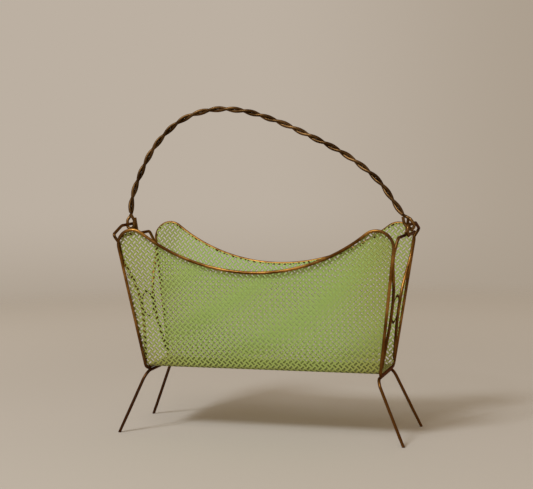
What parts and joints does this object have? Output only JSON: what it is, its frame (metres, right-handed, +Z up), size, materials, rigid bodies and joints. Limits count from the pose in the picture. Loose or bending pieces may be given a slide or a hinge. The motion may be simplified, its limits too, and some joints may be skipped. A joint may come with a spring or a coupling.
{
  "type": "magazine basket",
  "caption": "Perforated sheet metal magazine trough edged with wire, on splayed wire legs, with a twisted wire carrying handle that tips forward.",
  "frame": {"origin": "on the ground, midway between the feet", "axes": "+Z up, +X along the trough to the right end, -Y to the front"},
  "size_m": [0.396, 0.1408, 0.4291],
  "materials": {
    "sheet_paint": "satin pale green enamel",
    "aged_wire": "darkened copper-brown lacquer, worn bright on the outer curves"
  },
  "bodies": {
    "basket": {"perforated_sheet": "sheet_paint", "rim_wire": "aged_wire", "left_hook_wire": "aged_wire", "right_hook_wire": "aged_wire", "left_post_wire": "aged_wire", "right_post_wire": "aged_wire", "left_spacer_ring": "aged_wire", "right_spacer_ring": "aged_wire", "left_leg_wire": "aged_wire", "right_leg_wire": "aged_wire"},
    "handle": {"handle_strand_front": "aged_wire", "handle_strand_back": "aged_wire"}
  },
  "joints": [
    {"name": "handle_tip", "type": "hinge", "parent": "basket", "child": "handle", "pos_m": [0, -0.004, 0.2735], "axis": [1, 0, 0], "range_deg": [0, 45]}
  ]
}
